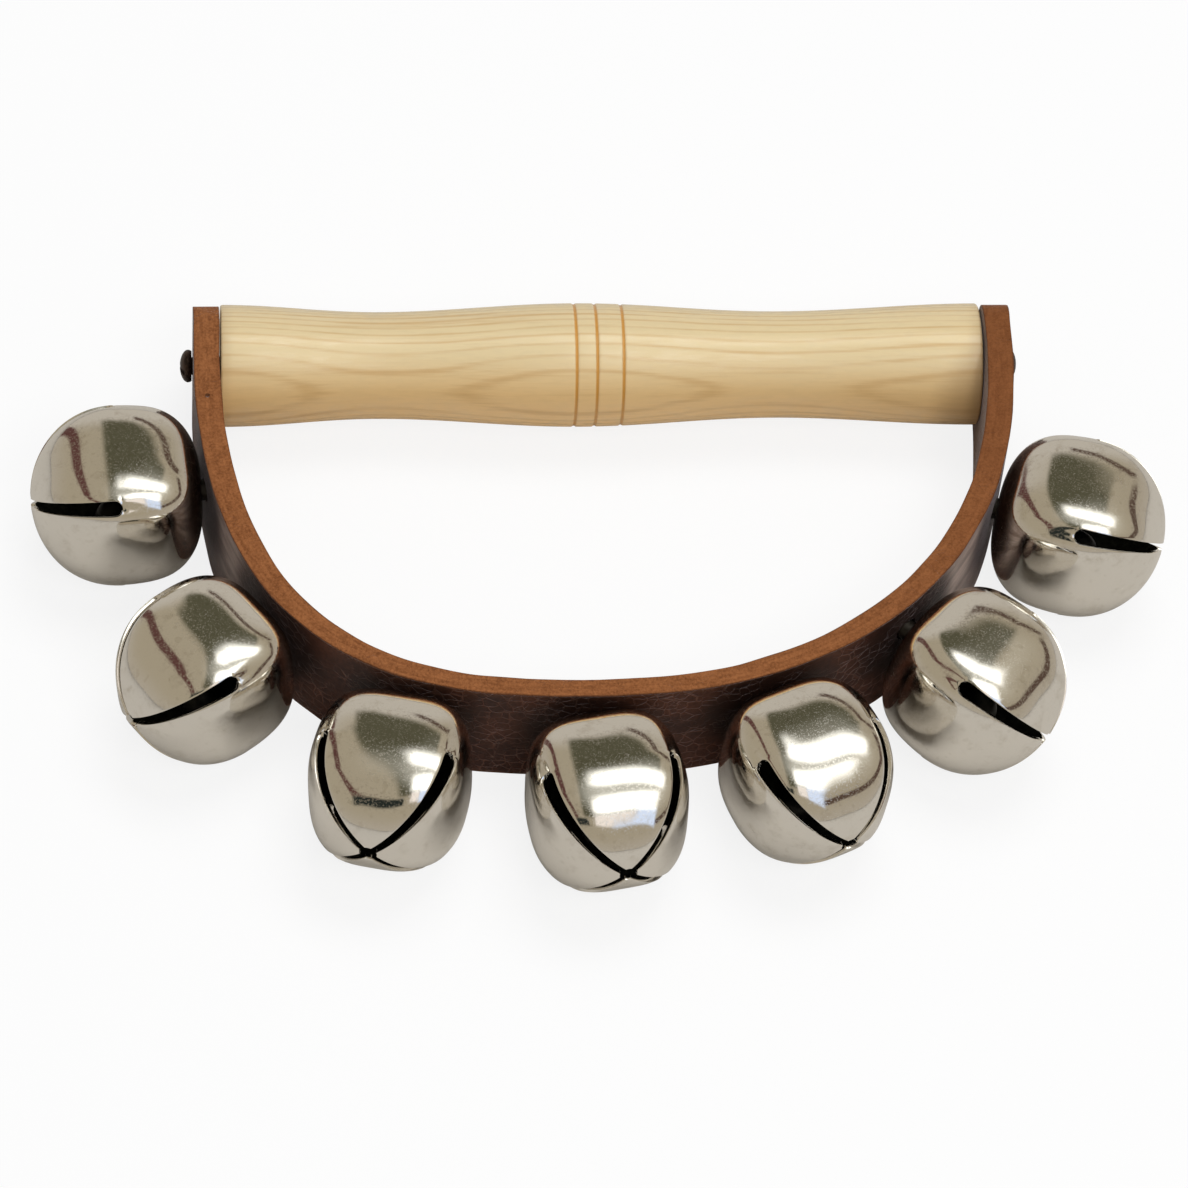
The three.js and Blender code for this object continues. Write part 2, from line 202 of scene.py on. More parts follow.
def lathe(name, profile, sides):
    """Draws a point out along a profile of (radius, height) pairs, and spins it about Z."""
    bpy.ops.object.select_all(action="DESELECT")
    bpy.ops.mesh.primitive_plane_add(size=MM)
    piece = bpy.context.object
    piece.name = name
    bpy.ops.object.mode_set(mode="EDIT")
    bpy.ops.mesh.merge(type="CENTER")
    radius, height = profile[0]
    bpy.ops.transform.translate(value=(radius, 0, height))
    for next_radius, next_height in profile[1:]:
        step = (next_radius - radius, 0, next_height - height)
        bpy.ops.mesh.extrude_vertices_move(TRANSFORM_OT_translate={"value": step})
        radius, height = next_radius, next_height
    bpy.ops.mesh.select_all(action="SELECT")
    bpy.ops.mesh.spin(steps=sides, angle=math.tau, center=(0, 0, 0), axis=(0, 0, 1))
    return close_up(piece)


def arc(radius, height, reach_r, reach_h, steps, start=0, end=90):
    """Points on part of an ellipse about (radius, height), from angle start to end."""
    angles = [math.radians(start + (end - start) * i / steps) for i in range(steps + 1)]
    return [(radius + reach_r * math.cos(a), height + reach_h * math.sin(a)) for a in angles]


def copied(piece, name):
    """A copy with its own mesh."""
    copy = piece.copy()
    copy.data = piece.data.copy()
    copy.name = name
    bpy.context.scene.collection.objects.link(copy)
    return copy


def put(piece, place):
    """Moves the mesh to its place. The object stays at the origin."""
    piece.data.transform(place)
    piece.data.update()
    return piece


def discard(piece):
    """Removes a cutter or a pattern that was copied."""
    bpy.data.objects.remove(piece)


def cut_away(piece, cutters):
    """Cuts the cutters out of a piece and removes them."""
    for cutter in cutters:
        apply_modifier(piece, "BOOLEAN", object=cutter, operation="DIFFERENCE", solver="EXACT")
        discard(cutter)


def rod(radius, low, high):
    """A plain round cutter about Z."""
    return lathe("cutter", [(0, low), (radius, low), (radius, high), (0, high)], HARDWARE_SIDES)


def along(node, place):
    """Lowest and highest reach of a CAD node along a place's Z axis."""
    inverse = place.inverted()
    heights = [(inverse @ v.co).z for v in frame["nodes"][node].data.vertices]
    return min(heights), max(heights)


# Handle

def handle_radius(x):
    """Half a wave between each end, waist and belly."""
    knots = (
        (-HANDLE_END, HANDLE_END_R),
        (BELLY_SHIFT - BELLY_TO_WAIST, HANDLE_WAIST_R),
        (BELLY_SHIFT, HANDLE_BELLY_R),
        (BELLY_SHIFT + BELLY_TO_WAIST, HANDLE_WAIST_R),
        (HANDLE_END, HANDLE_END_R),
    )
    for (from_x, from_r), (to_x, to_r) in zip(knots, knots[1:]):
        if x <= to_x:
            wave = (1 - math.cos(math.pi * (x - from_x) / (to_x - from_x))) / 2
            return from_r + (to_r - from_r) * wave
    return HANDLE_END_R


def make_handle():
    """One turned piece with rounded rims, scored rings and a pilot hole in each end."""
    end = HANDLE_END - RIM_ROUND
    steps = round(2 * end / HANDLE_STEP)
    plain = [-end + 2 * end * i / steps for i in range(steps + 1)]
    clear = [x for x in plain if all(abs(x - ring) > 2 * RING_HALF_WIDTH for ring in RING_PLACES)]
    surface = [(handle_radius(x), x) for x in clear]
    for ring in RING_PLACES:
        for share, depth in ((-1.5, 0), (-1, 0.08), (-0.5, 0.7), (0, 1), (0.5, 0.7), (1, 0.08), (1.5, 0)):
            x = ring + share * RING_HALF_WIDTH
            surface.append((handle_radius(x) - depth * RING_DEEP, x))
    surface.sort(key=lambda point: point[1])
    rim = HANDLE_END_R - RIM_ROUND
    floor = HANDLE_END - PILOT_DEEP
    profile = [(0, -floor), (PILOT_R, -floor), (PILOT_R, -HANDLE_END)]
    profile += arc(rim, -end, RIM_ROUND, RIM_ROUND, 4, -90, 0)[:-1]
    profile += surface
    profile += arc(rim, end, RIM_ROUND, RIM_ROUND, 4)[1:]
    profile += [(PILOT_R, HANDLE_END), (PILOT_R, floor), (0, floor)]
    handle = lathe("turned_handle", profile, HANDLE_SIDES)
    put(handle, Matrix.Translation(HANDLE_MID) @ Matrix.Rotation(math.pi / 2, 4, "Y"))
    smooth(handle, 50)
    return handle


# Strap

def bow_point(turn):
    """A point on the bow's inner face, from the left end (-90 degrees) to the right end (90 degrees)."""
    across = math.copysign(abs(math.sin(turn)) ** (2 / BOW_FULLNESS), math.sin(turn))
    down = abs(math.cos(turn)) ** (2 / BOW_FULLNESS)
    lean = BOW_LEAN * math.cos(turn) ** 2
    return Vector((STRAP_SPAN * across + lean, -BOW_LEG - (BOW_DEPTH - BOW_LEG) * down))


def strap_stations():
    """(inner point, thickness share, distance from the nearer end) along the strap."""
    corner = [STRAP_CORNER * (1 - math.cos(math.radians(a))) for a in (0, 15, 30, 45, 60, 75, 90)]
    straight = STRAP_OVER_AXIS + BOW_LEG
    stations = [(Vector((-STRAP_SPAN, STRAP_OVER_AXIS - d)), 1, d) for d in corner]
    for i in range(BOW_STEPS + 1):
        turn = math.pi * (i / BOW_STEPS - 0.5)
        stations.append((bow_point(turn), math.sin(turn) ** 2, straight))
    stations += [(Vector((STRAP_SPAN, STRAP_OVER_AXIS - d)), 1, d) for d in reversed(corner)]
    return stations


def half_width(from_end):
    """Half the strap's width, less where the corners of its free ends are rounded."""
    into_corner = STRAP_CORNER - from_end
    if into_corner <= 0:
        return STRAP_HALF_WIDTH
    return STRAP_HALF_WIDTH - STRAP_CORNER + math.sqrt(STRAP_CORNER**2 - into_corner**2)


def make_strap(places):
    """A flat sheet bent round the bow, given its thickness, soft edges and the holes for its hardware."""
    stations = strap_stations()
    columns = len(stations) - 1
    bpy.ops.object.select_all(action="DESELECT")
    bpy.ops.mesh.primitive_grid_add(x_subdivisions=columns, y_subdivisions=STRAP_ROWS, size=1)
    strap = bpy.context.object
    strap.name = "leather_strap"
    thick = strap.vertex_groups.new(name="thick")
    for vertex in strap.data.vertices:
        inner, share, from_end = stations[round((vertex.co.x + 0.5) * columns)]
        across = 2 * vertex.co.y * half_width(from_end)
        thick.add([vertex.index], share, "REPLACE")
        vertex.co = HANDLE_MID + Vector((inner.x, inner.y, across))
    apply_modifier(
        strap, "SOLIDIFY",
        thickness=STRAP_END_THICK,
        offset=1,
        use_even_offset=True,
        vertex_group="thick",
        thickness_vertex_group=STRAP_MID_THICK / STRAP_END_THICK,
    )
    apply_modifier(
        strap, "BEVEL", width=STRAP_EDGE_ROUND, segments=3, limit_method="ANGLE", angle_limit=math.radians(50)
    )
    noise.seed_set(STRAP_WAVE_SEED)
    for vertex in strap.data.vertices:
        out = abs(vertex.co.z - HANDLE_MID.z) / STRAP_HALF_WIDTH
        wave = noise.noise_vector(vertex.co * STRAP_WAVE_SCALE) * STRAP_WAVE * out**4
        ripple = noise.noise(vertex.co * STRAP_RIPPLE_SCALE) * STRAP_RIPPLE * out
        vertex.co += Vector((wave.x, wave.y, ripple))
    cutters = []
    for i, place in enumerate(places, 1):
        tail_low, _ = along(f"bell_rivet_{i}", place)
        _, washer_high = along(f"rivet_washer_{i}", place)
        stepped = [(0, 2 * tail_low), (WASHER_SEAT_R, 2 * tail_low), (WASHER_SEAT_R, washer_high)]
        stepped += [(RIVET_HOLE_R, washer_high), (RIVET_HOLE_R, 0), (0, 0)]
        cutters.append(put(lathe("cutter", stepped, HARDWARE_SIDES), place))
    for side in ("left", "right"):
        cutters.append(put(rod(SCREW_HOLE_R, -STRAP_SPAN, STRAP_END_THICK), screw_place(side)))
    cut_away(strap, cutters)
    mark_leather(strap, stations)
    smooth(strap, 40)
    return strap


def mark_leather(strap, stations):
    """Stores how far each point is in from the cut outline, through the thickness and along the strap."""
    lengths = [0.0]
    for (here, _, _), (after, _, _) in zip(stations, stations[1:]):
        lengths.append(lengths[-1] + (after - here).length)
    marks = {"inset": [], "depth": [], "length": []}
    for vertex in strap.data.vertices:
        flat = Vector((vertex.co.x - HANDLE_MID.x, vertex.co.y - HANDLE_MID.y))
        nearest = min(range(len(stations)), key=lambda i: (stations[i][0] - flat).length_squared)
        inner, share, from_end = stations[nearest]
        thickness = STRAP_MID_THICK + (STRAP_END_THICK - STRAP_MID_THICK) * share
        run = min(from_end, STRAP_OVER_AXIS - flat.y) if from_end < STRAP_CORNER else from_end
        from_side = half_width(from_end) - abs(vertex.co.z - HANDLE_MID.z)
        marks["inset"].append(max(0.0, min(from_side, run)))
        marks["depth"].append((flat - inner).length / thickness)
        marks["length"].append(lengths[nearest] - lengths[-1] / 2)
    for name, values in marks.items():
        strap.data.attributes.new(name, "FLOAT", "POINT").data.foreach_set("value", values)


# Bells

def bell_rows():
    """Polar angles of the rows from the crown to the rivet hole, close together at the slots' round ends."""
    tip = slot_tip()
    end = SLOT_END_R / BELL_CORNER_R
    crown = math.atan2(CROSS_OPENING_R, BELL_CROWN)
    hole = math.pi - math.asin(RIVET_HOLE_R / BELL_DOME)
    petals = [crown + (tip - end - crown) * i / PETAL_ROWS for i in range(PETAL_ROWS)]
    angles = [math.pi / 2 * (1 - i / ROUND_ROWS) for i in range(ROUND_ROWS + 1)]
    round_end = [tip - end * (1 - math.cos(a)) for a in angles]
    dome = [tip + (hole - tip) * i / DOME_ROWS for i in range(1, DOME_ROWS + 1)]
    return petals + round_end + dome


def slot_tip():
    """Polar angle at which a slot ends."""
    return math.pi / 2 + SLOT_END_BELOW / BELL_CORNER_R


def slot_half_width(from_tip, length):
    """Half the width of a slot: a round end, then a taper to the crown."""
    if from_tip <= 0:
        return 0.0
    if from_tip < SLOT_END_R:
        return math.sqrt(SLOT_END_R**2 - (SLOT_END_R - from_tip) ** 2)
    share = (from_tip - SLOT_END_R) / (length - SLOT_END_R)
    return SLOT_END_R + (SLOT_TIP_HALF - SLOT_END_R) * share


def full_length(fullness, *parts):
    """A length from its parts along square axes. A fullness of 2 gives the usual length."""
    return sum(abs(part) ** fullness for part in parts) ** (1 / fullness)


def pressed(way):
    """Where a bell's outside is in a direction: a ball pressed towards a cube, fuller in its dome."""
    height, fullness = (BELL_DOME, DOME_FULLNESS) if way.z < 0 else (BELL_CROWN, CROWN_FULLNESS)
    aside = full_length(SECTION_FULLNESS, way.x / BELL_FLAT_R, way.y / BELL_FLAT_R)
    return way / full_length(fullness, aside, way.z / height)


def dent(past_tip, aside):
    """Depth of the fold that runs from a slot's end up the dome."""
    if past_tip < 0:
        deep, wide = math.exp(-((past_tip / DENT_PAST_END) ** 2)), DENT_HALF_WIDTH
    else:
        deep = max(0.0, 1 - past_tip / DENT_LONG) ** 1.5
        wide = DENT_HALF_WIDTH + DENT_SPREAD * past_tip
    return DENT_DEEP * deep * max(0.0, 1 - (aside / wide) ** 2) ** 2


def make_bell(outside, inside):
    """A ball spun in rows, slotted, pressed and dented, then given a wall with a finish for each side."""
    quarter, eighth = math.pi / 2, math.pi / 4
    near = 0.2 * math.tau / BELL_SIDES
    tip, rows = slot_tip(), bell_rows()
    slot_length = (tip - rows[0]) * BELL_CORNER_R
    bell = lathe("bell", [(BELL_FLAT_R * math.sin(a), BELL_FLAT_R * math.cos(a)) for a in rows], BELL_SIDES)
    edit(bell)
    bpy.ops.mesh.select_all(action="DESELECT")
    bpy.ops.mesh.select_mode(type="EDGE")
    mesh = bmesh.from_edit_mesh(bell.data)

    def on_slot(vertex):
        off = abs(math.atan2(vertex.co.y, vertex.co.x)) % quarter - eighth
        return abs(off) < near and UP.angle(vertex.co) < tip + SLOT_ANGLE_SLACK

    for edge in mesh.edges:
        edge.select_set(all(on_slot(vertex) for vertex in edge.verts))
    bmesh.update_edit_mesh(bell.data)
    bpy.ops.mesh.edge_split(type="EDGE")
    mesh = bmesh.from_edit_mesh(bell.data)
    moved = {}
    for vertex in mesh.verts:
        polar = UP.angle(vertex.co)
        turn = math.atan2(vertex.co.y, vertex.co.x)
        faces = sum((face.calc_center_median() for face in vertex.link_faces), Vector())
        petal = quarter * round(math.atan2(faces.y, faces.x) / quarter)
        off = (turn - petal + math.pi) % math.tau - math.pi
        past_tip = (polar - tip) * BELL_CORNER_R
        round_r = BELL_CORNER_R * math.sin(polar)
        half = min(slot_half_width(-past_tip, slot_length) / round_r, SLOT_MOST_OPEN)
        off *= 1 - math.asin(half) / eighth
        turn = petal + off
        way = Vector((math.sin(polar) * math.cos(turn), math.sin(polar) * math.sin(turn), math.cos(polar)))
        aside = round_r * (eighth - abs(off))
        moved[vertex] = pressed(way) - way * dent(past_tip, aside)
    for vertex, place in moved.items():
        vertex.co = place
    bmesh.update_edit_mesh(bell.data)
    bpy.ops.mesh.select_mode(type="VERT")
    bpy.ops.object.mode_set(mode="OBJECT")
    apply_modifier(bell, "SUBSURF", levels=1, render_levels=1)
    bell.data.materials.append(outside)
    bell.data.materials.append(inside)
    apply_modifier(
        bell, "SOLIDIFY", thickness=BELL_WALL, offset=-1, use_even_offset=True, material_offset=1
    )
    apply_modifier(
        bell, "BEVEL", width=BELL_EDGE_ROUND, segments=2, limit_method="ANGLE", angle_limit=math.radians(60)
    )
    smooth(bell, 50)
    return bell


def ripple_bell(bell, seed):
    """Small hollows and swellings, different in each bell."""
    offset = Vector((seed, 2.7 * seed, -1.3 * seed))
    for vertex in bell.data.vertices:
        swell = noise.noise(vertex.co * BELL_RIPPLE_SCALE + offset)
        vertex.co += vertex.co.normalized() * swell * BELL_RIPPLE


def bell_places():
    """Each bell's middle and rivet's direction from the CAD joints, with Z out along the rivet and X up."""
    joints = {joint["name"]: joint for joint in frame["joints"]}
    places = []
    for i in range(1, BELL_COUNT + 1):
        joint = joints[f"bell_{i}_swivel"]
        out = Vector(joint["axis"]).normalized()
        up = (UP - out * UP.dot(out)).normalized()
        basis = Matrix((up, out.cross(up), out)).transposed()
        places.append(Matrix.Translation(Vector(joint["pos_m"])) @ basis.to_4x4())
    return places


def make_pellet():
    """A tumbled steel ball: a little out of round, with flat spots."""
    radius = (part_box("bell_pellet_1")[1].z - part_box("bell_pellet_1")[0].z) / 2
    bpy.ops.object.select_all(action="DESELECT")
    bpy.ops.mesh.primitive_ico_sphere_add(subdivisions=4, radius=radius)
    pellet = bpy.context.object
    for vertex in pellet.data.vertices:
        flat = noise.noise(vertex.co * PELLET_FLAT_SCALE) + 0.5 * noise.noise(vertex.co * PELLET_FINE_SCALE)
        vertex.co *= 1 - PELLET_FLATS * max(0.0, flat)
    smooth(pellet, 60)
    return pellet


# Hardware

def make_rivet(i, place):
    """A domed head inside the bell, a shank, and a tail rolled over with a dimple in its middle."""
    low, high = along(f"bell_rivet_{i}", place)
    tail_top = low + RIVET_TAIL_HIGH
    head_low = high - RIVET_HEAD_HIGH
    profile = [(0, low + 0.5 * RIVET_TAIL_HIGH), (0.3 * RIVET_TAIL_R, low + 0.4 * RIVET_TAIL_HIGH)]
    profile += arc(0.62 * RIVET_TAIL_R, tail_top, 0.38 * RIVET_TAIL_R, RIVET_TAIL_HIGH, 8, 230, 360)
    profile += [(RIVET_SHANK_R, tail_top), (RIVET_SHANK_R, head_low), (RIVET_HEAD_R, head_low)]
    profile += arc(0, head_low, RIVET_HEAD_R, RIVET_HEAD_HIGH, 8)[1:]
    rivet = put(lathe(f"rivet_{i}", profile, HARDWARE_SIDES), place)
    smooth(rivet, 50)
    return rivet


def make_washer(i, place):
    """A stamped ring with a rolled outer edge."""
    low, high = along(f"rivet_washer_{i}", place)
    edge = (high - low) / 2
    profile = [(RIVET_HOLE_R, low + 0.2 * edge), (RIVET_HOLE_R + 0.2 * edge, low)]
    profile += arc(WASHER_R - edge, low + edge, edge, edge, 8, -90, 90)
    profile += [(RIVET_HOLE_R, high), (RIVET_HOLE_R, low + 0.2 * edge)]
    washer = put(lathe(f"washer_{i}", profile, HARDWARE_SIDES), place)
    smooth(washer, 50)
    return washer


def screw_place(side):
    """The underside of a screw's head, with Z out of the strap."""
    low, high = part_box(f"handle_screw_{side}")
    x, turn = high.x - SCREW_HEAD_HIGH, math.pi / 2
    if side == "left":
        x, turn = low.x + SCREW_HEAD_HIGH, -math.pi / 2
    return Matrix.Translation((x, *HANDLE_MID.yz)) @ Matrix.Rotation(turn, 4, "Y")


def make_screw(side):
    """A pan head with a slot across it, and a threaded, pointed shank."""
    low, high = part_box(f"handle_screw_{side}")
    length = high.x - low.x - SCREW_HEAD_HIGH
    thread_top = -length / 3
    turns = int((length + thread_top - 2 * SCREW_SHANK_R) / SCREW_THREAD_PITCH)
    root_r = SCREW_SHANK_R - SCREW_THREAD_DEEP
    profile = [(0, -length)]
    for i in range(turns):
        crest = 2 * SCREW_SHANK_R - length + i * SCREW_THREAD_PITCH
        profile += [(SCREW_SHANK_R, crest), (root_r, crest + SCREW_THREAD_PITCH / 2)]
    profile += [(SCREW_SHANK_R, thread_top), (SCREW_SHANK_R, 0), (0.93 * SCREW_HEAD_R, 0)]
    profile += arc(0, 0.3 * SCREW_HEAD_HIGH, SCREW_HEAD_R, 0.7 * SCREW_HEAD_HIGH, 10, -20, 90)
    screw = lathe(f"screw_{side}", profile, HARDWARE_SIDES)
    bpy.ops.object.select_all(action="DESELECT")
    bpy.ops.mesh.primitive_cube_add(size=2 * SCREW_SLOT_DEEP, location=(0, 0, SCREW_HEAD_HIGH))
    slot = bpy.context.object
    slot.scale = (SCREW_SLOT_WIDTH / (2 * SCREW_SLOT_DEEP), 2 * SCREW_HEAD_R / SCREW_SLOT_DEEP, 1)
    cut_away(screw, [slot])
    put(screw, screw_place(side) @ Matrix.Rotation(math.radians(SCREW_SLOT_TURN_DEG), 4, "Z"))
    smooth(screw, 40)
    return screw


# Finishes

class Value:
    """A socket on which Python's operators add Math nodes."""

    def __init__(self, nodes, socket):
        self.nodes = nodes
        self.socket = socket

    def math(self, operation, *values):
        return self.nodes.add("ShaderNodeMath", {"operation": operation}, dict(enumerate(values)))

    def __add__(self, other):
        return self.math("ADD", self, other)

    def __sub__(self, other):
        return self.math("SUBTRACT", self, other)

    def __rsub__(self, other):
        return self.math("SUBTRACT", other, self)

    def __mul__(self, other):
        return self.math("MULTIPLY", self, other)

    def __pow__(self, other):
        return self.math("POWER", self, other)

    def __abs__(self):
        return self.math("ABSOLUTE", self)

    __radd__ = __add__
    __rmul__ = __mul__

    def sine(self):
        return self.math("SINE", self)

    def step(self, low, high):
        """A smooth rise from 0 at low to 1 at high, or a fall where low is above high."""
        sockets = {"Value": self, "From Min": low, "From Max": high}
        return self.nodes.add("ShaderNodeMapRange", {"interpolation_type": "SMOOTHSTEP"}, sockets)


class Nodes:
    """A node tree that is filled by one method."""

    def __init__(self, tree):
        self.tree = tree
        tree.nodes.clear()

    def add(self, kind, settings=None, sockets=None, output=0):
        """One node: its settings first, then the values or links of its sockets."""
        node = self.tree.nodes.new(kind)
        for name, value in (settings or {}).items():
            setattr(node, name, value)
        for name, value in (sockets or {}).items():
            if isinstance(value, Value):
                self.tree.links.new(value.socket, node.inputs[name])
            else:
                node.inputs[name].default_value = value
        return Value(self, node.outputs[output]) if len(node.outputs) else None

    def place(self, stretch=(1, 1, 1), centre=(0, 0, 0)):
        """Object coordinates from a centre, stretched along the axes."""
        here = self.add("ShaderNodeTexCoord", output="Object")
        moved = self.add("ShaderNodeVectorMath", {"operation": "SUBTRACT"}, {0: here, 1: centre})
        return self.add("ShaderNodeVectorMath", {"operation": "MULTIPLY"}, {0: moved, 1: stretch})

    def parts(self, vector):
        """The three numbers of a vector."""
        return [self.add("ShaderNodeSeparateXYZ", None, {0: vector}, axis) for axis in "XYZ"]

    def noise(self, place, scale, detail=2.0, roughness=0.5, distortion=0.0):
        sockets = {"Vector": place, "Scale": scale, "Detail": detail}
        sockets |= {"Roughness": roughness, "Distortion": distortion}
        return self.add("ShaderNodeTexNoise", None, sockets, "Fac")

    def join(self, x, y, z):
        """A vector from three numbers."""
        return self.add("ShaderNodeCombineXYZ", None, {0: x, 1: y, 2: z})

    def distance(self, first, second):
        return self.add("ShaderNodeVectorMath", {"operation": "DISTANCE"}, {0: first, 1: second}, "Value")

    def mix(self, share, first, second):
        """A colour between two."""
        return self.add("ShaderNodeMix", {"data_type": "RGBA"}, {0: share, 6: first, 7: second}, 2)

    def bump(self, height, distance, strength=1.0):
        sockets = {"Height": height, "Distance": distance, "Strength": strength}
        return self.add("ShaderNodeBump", None, sockets)


class Finish(Nodes):
    """A material."""

    def __init__(self, name):
        self.material = bpy.data.materials.new(name)
        self.material.use_nodes = True
        super().__init__(self.material.node_tree)

    def shade(self, **sockets):
        named = {name.replace("_", " "): value for name, value in sockets.items()}
        surface = self.add("ShaderNodeBsdfPrincipled", None, named)
        self.add("ShaderNodeOutputMaterial", None, {"Surface": surface})
        return self.material


def colour(red, green, blue):
    """An opaque colour."""
    return (red, green, blue, 1.0)


def shifted(finish, share, reach):
    """A sideways shift along the strap and across it, from a number about one half."""
    return finish.join((share - 0.5) * reach, (0.5 - share) * reach, 0)


def varnished_wood():
    """Pale turned wood: growth lines and fibres along it, painted light making the top paler and the honey
    below brighter, scorched rings and stained ends.
    """
    painted_light_cream, honey, growth = colour(0.86, 0.69, 0.40), colour(0.96, 0.625, 0.265), colour(0.62, 0.35, 0.115)
    scorched, stained = colour(0.64, 0.28, 0.030), colour(0.30, 0.155, 0.06)
    finish = Finish("varnished_wood")
    here = finish.place(centre=HANDLE_MID)
    x, y, z = finish.parts(here)
    cloud = finish.noise(here, 22.0, 2.0)
    sway = finish.noise(finish.place((7, 60, 60)), 1.0, 2.0)
    across = z * 0.45 - y * 0.89 + sway * GROWTH_SWAY
    layers = (across * (math.tau / GROWTH_SPACING)).sine() * 0.5 + 0.5
    fibres = finish.noise(finish.place((7, 620, 620)), 1.0, 3.0, 0.6)
    fine = finish.noise(finish.place((40, 2400, 2400)), 1.0, 2.0, 0.6)
    streaks = finish.noise(finish.place((16, 260, 260)), 1.0, 2.0, 0.5).step(0.56, 0.74)
    # Painted light: paler on top where the light falls, and the honey below made brighter for the lesser
    # light there
    upper = (y * 0.84 + z * 0.54 + (cloud - 0.5) * (4 * MM)).step(-8 * MM, 2.5 * MM)
    lines = layers ** 3 * 0.50 + (fibres - 0.5) * 1.1 + (fine - 0.5) * 0.8 + streaks * 0.30 + 0.04
    wood = finish.mix(lines.step(0.0, 1.0) * 0.60, finish.mix(upper, honey, painted_light_cream), growth)
    rings = sum(abs(x - ring).step(RING_HALF_WIDTH, 0.4 * RING_HALF_WIDTH) for ring in RING_PLACES)
    wood = finish.mix(rings * 0.9, wood, scorched)
    stain = (x + (cloud - 0.5) * (12 * MM) - y * 0.8).step(HANDLE_END - 1 * MM, HANDLE_END + 7 * MM)
    rims = (abs(x) + (cloud - 0.5) * (4 * MM)).step(HANDLE_END - 2.5 * MM, HANDLE_END)
    wood = finish.mix(rims * 0.12 + stain * 0.40, wood, stained)
    gloss = finish.noise(finish.place((260, 1100, 1100)), 1.0, 2.0, 0.6).step(0.42, 0.62)
    return finish.shade(
        Base_Color=wood,
        Roughness=0.42 + (fibres - 0.5) * 0.3,
        Coat_Weight=0.35 + gloss * 0.65,
        Coat_Roughness=0.16,
        Normal=finish.bump(fibres * 0.7 + fine * 0.4, 0.05 * MM, 0.6),
    )


